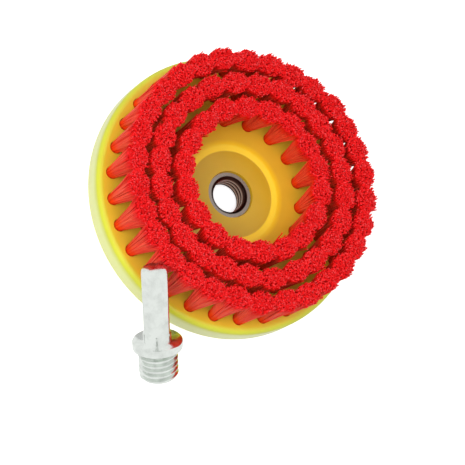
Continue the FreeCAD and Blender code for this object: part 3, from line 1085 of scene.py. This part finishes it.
@dataclass
class DrillAdapter:
    """The plated adapter: its flange, neck and hexagon shank as packed, with a real thread."""

    finish: PlatedSteel = field(default_factory=PlatedSteel)
    thread: MetricThread = field(default_factory=MetricThread)
    thread_length: float = 11.6 * MM
    end_chamfer: float = 1.2 * MM
    relief_width: float = 0.7 * MM
    relief_radius: float = 5.86 * MM
    length: float = 42.8 * MM
    margin: float = 0.01 * MM
    sharp_above: float = math.radians(24)

    def stand(self) -> Matrix:
        """Where the adapter stands.

        Returns:
            The place and turn that take its own Z from the thread's end to the shank's end.
        """
        mount = next(m for m in frame["record"]["mounts"] if m["name"] == "drill_shank")
        axis = Vector(mount["axis"]).normalized()
        foot = Vector(mount["pos_m"]) - axis * self.length
        return Matrix.Translation(foot) @ axis.to_track_quat("Z", "Y").to_matrix().to_4x4()

    def most(self, height: float) -> float:
        """The thread's largest radius at a height: its end is chamfered, and it runs out at the flange.

        Args:
            height: how far it is from the thread's end.

        Returns:
            The radius.
        """
        if height > self.thread_length - self.relief_width:
            return self.relief_radius
        return self.thread.crest - self.end_chamfer + max(height, 0.0)

    def build(self) -> None:
        """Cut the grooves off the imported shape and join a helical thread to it."""
        stand = self.stand()
        bm = merged_copy(frame["nodes"]["drill_adapter"])
        bmesh.ops.transform(bm, matrix=stand.inverted(), verts=bm.verts)
        grooved = [
            face for face in bm.faces
            if face.calc_center_median().z < self.thread_length - self.margin
            and all(vert.co.xy.length < self.thread.crest + self.margin for vert in face.verts)
        ]
        bmesh.ops.delete(bm, geom=grooved, context="FACES")
        threaded = self.thread.cut(self.thread_length, lambda height: 0.0, self.most)
        mesh = bpy.data.meshes.new("adapter_thread")
        threaded.to_mesh(mesh)
        threaded.free()
        bm.from_mesh(mesh)
        bpy.data.meshes.remove(mesh)
        bmesh.ops.bridge_loops(bm, edges=open_loop(bm, self.thread_length))
        bmesh.ops.holes_fill(bm, edges=open_loop(bm, 0.0), sides=0)
        bmesh.ops.recalc_face_normals(bm, faces=bm.faces)
        bmesh.ops.transform(bm, matrix=stand, verts=bm.verts)
        finish_piece(
            bm, "adapter_with_thread", self.finish.material(), Body.ADAPTER,
            ["drill_adapter"], self.sharp_above)


# ---------------------------------------------------------------------------------------------
# Studio
# ---------------------------------------------------------------------------------------------

def towards(azimuth: float, elevation: float) -> Vector:
    """The direction to a place round the brush.

    Args:
        azimuth: degrees from the -Y side towards +X.
        elevation: degrees above the floor.

    Returns:
        A unit vector.
    """
    turn, rise = math.radians(azimuth), math.radians(elevation)
    return Vector((math.sin(turn) * math.cos(rise), -math.cos(turn) * math.cos(rise), math.sin(rise)))


@dataclass(frozen=True)
class Lamp:
    """A square soft lamp."""

    name: str
    azimuth: float
    elevation: float
    distance: float
    size: float
    level: float

    def place(self, aim: Vector) -> None:
        """Light a white surface that faces the lamp with its level as a share of full white.

        Args:
            aim: where the lamp points.
        """
        data = bpy.data.lights.new(self.name, "AREA")
        data.shape = "SQUARE"
        data.size = self.size
        data.energy = self.level * math.pi ** 2 * self.distance ** 2
        lamp = bpy.data.objects.new(self.name, data)
        direction = towards(self.azimuth, self.elevation)
        lamp.location = aim + direction * self.distance
        lamp.rotation_euler = direction.to_track_quat("Z", "Y").to_euler()
        lamp.visible_glossy = False
        bpy.context.scene.collection.objects.link(lamp)


def ray_is(tree: bpy.types.NodeTree, *kinds: Ray) -> list[bpy.types.NodeSocket]:
    """Ask of each ray whether it is of some kinds.

    Args:
        tree: the tree that asks.
        kinds: the kinds to ask for.

    Returns:
        A socket for each kind, 1 where the ray is of it and otherwise 0.
    """
    path = tree.nodes.new("ShaderNodeLightPath")
    return [path.outputs[kind.value] for kind in kinds]


def largest(tree: bpy.types.NodeTree, sockets: Iterable[bpy.types.NodeSocket]) -> bpy.types.NodeSocket:
    """The largest of some sockets' values.

    Args:
        tree: the tree that they are in.
        sockets: two sockets or more.

    Returns:
        The socket of the largest.
    """
    result, *others = sockets
    for socket in others:
        node = tree.nodes.new("ShaderNodeMath")
        node.operation = "MAXIMUM"
        tree.links.new(result, node.inputs[0])
        tree.links.new(socket, node.inputs[1])
        result = node.outputs["Value"]
    return result


@dataclass
class Studio:
    """The pale floor, the white surround, the lamps and the camera."""

    aim: Vector = field(default_factory=lambda: Vector((12.23, -6.10, 6.80)) * MM)
    camera_elevation: float = 60.65
    camera_roll: float = 58.77
    camera_distance: float = 869.6 * MM
    camera_reach: float = 20.0
    lens: float = 185.8
    sensor: float = 36.0
    floor_radius: float = 4.0
    floor_sides: int = 96
    floor_gap: float = 0.02 * MM
    floor_colour: Colour = paint(242, 242, 242)
    floor_lift: float = 0.6
    white: Colour = paint(255, 255, 255)
    ambient: float = 0.55
    lamps: tuple[Lamp, ...] = (
        Lamp("key", azimuth=-16, elevation=38, distance=1.2, size=1.0, level=0.65),
        Lamp("top", azimuth=20, elevation=76, distance=1.2, size=1.0, level=0.4),
    )

    def camera(self) -> None:
        """Look at the brush from above its -Y side, rolled so that its axis leans right."""
        data = bpy.data.cameras.new("camera")
        data.lens = self.lens
        data.sensor_width = self.sensor
        data.clip_end = self.camera_reach
        camera = bpy.data.objects.new("camera", data)
        pitch = Matrix.Rotation(math.radians(90 - self.camera_elevation), 4, "X")
        roll = Matrix.Rotation(math.radians(self.camera_roll), 4, "Z")
        place = self.aim + towards(0, self.camera_elevation) * self.camera_distance
        camera.matrix_world = Matrix.Translation(place) @ pitch @ roll
        bpy.context.scene.collection.objects.link(camera)
        bpy.context.scene.camera = camera

    def surround(self) -> None:
        """A world that lights the brush at a plain level, and is white where it is seen or mirrored."""
        world = bpy.data.worlds.new("surround")
        world.use_nodes = True
        tree = world.node_tree
        tree.nodes.clear()
        output = tree.nodes.new("ShaderNodeOutputWorld")
        background = tree.nodes.new("ShaderNodeBackground")
        background.inputs["Color"].default_value = self.white
        strength = tree.nodes.new("ShaderNodeMapRange")
        strength.inputs["To Min"].default_value = self.ambient
        strength.inputs["To Max"].default_value = 1.0
        seen = largest(tree, ray_is(tree, Ray.CAMERA, Ray.GLOSSY, Ray.TRANSMISSION))
        tree.links.new(seen, strength.inputs["Value"])
        tree.links.new(strength.outputs["Result"], background.inputs["Strength"])
        tree.links.new(background.outputs["Background"], output.inputs["Surface"])
        bpy.context.scene.world = world

    def floor_material(self) -> bpy.types.Material:
        """A pale matte surface, lifted to white for the eye, and clear from underneath.

        The rays that carry light pass it too, so that the surround lights the brush's back.

        Returns:
            The floor's material.
        """
        material = bpy.data.materials.new("floor")
        material.use_nodes = True
        tree = material.node_tree
        tree.nodes.clear()
        output = tree.nodes.new("ShaderNodeOutputMaterial")
        matte = tree.nodes.new("ShaderNodeBsdfDiffuse")
        matte.inputs["Color"].default_value = self.floor_colour
        glow = tree.nodes.new("ShaderNodeEmission")
        glow.inputs["Color"].default_value = self.white
        lift = tree.nodes.new("ShaderNodeMath")
        lift.operation = "MULTIPLY"
        lift.inputs[1].default_value = self.floor_lift
        tree.links.new(largest(tree, ray_is(tree, Ray.CAMERA, Ray.TRANSMISSION)), lift.inputs[0])
        tree.links.new(lift.outputs["Value"], glow.inputs["Strength"])
        both = tree.nodes.new("ShaderNodeAddShader")
        tree.links.new(matte.outputs["BSDF"], both.inputs[0])
        tree.links.new(glow.outputs["Emission"], both.inputs[1])
        clear = tree.nodes.new("ShaderNodeBsdfTransparent")
        side = tree.nodes.new("ShaderNodeNewGeometry")
        passed = largest(tree, [side.outputs["Backfacing"], *ray_is(tree, Ray.DIFFUSE, Ray.GLOSSY)])
        shown = tree.nodes.new("ShaderNodeMixShader")
        tree.links.new(passed, shown.inputs["Fac"])
        tree.links.new(both.outputs["Shader"], shown.inputs[1])
        tree.links.new(clear.outputs["BSDF"], shown.inputs[2])
        tree.links.new(shown.outputs["Shader"], output.inputs["Surface"])
        return material

    def floor(self) -> None:
        """A wide floor just under the brush, which keeps its shadow."""
        bm = bmesh.new()
        bmesh.ops.create_circle(bm, cap_ends=True, segments=self.floor_sides, radius=self.floor_radius)
        mesh = bpy.data.meshes.new("floor")
        bm.to_mesh(mesh)
        bm.free()
        mesh.materials.append(self.floor_material())
        floor = bpy.data.objects.new("floor", mesh)
        floor.location.z = CAD_BOX[0].z - self.floor_gap
        bpy.context.scene.collection.objects.link(floor)

    def build(self) -> None:
        """Set up everything round the brush."""
        bpy.context.scene.view_settings.view_transform = "Standard"
        self.camera()
        self.surround()
        self.floor()
        for lamp in self.lamps:
            lamp.place(self.aim)


def main() -> None:
    """Build the studio and every sub-assembly in order."""
    logging.basicConfig(level=logging.INFO, format="%(name)s %(message)s")
    Studio().build()
    BrushPlate().build()
    ThreadedHub().build()
    DrillAdapter().build()
    BristleTufts().build()


if __name__ == "__main__":
    main()
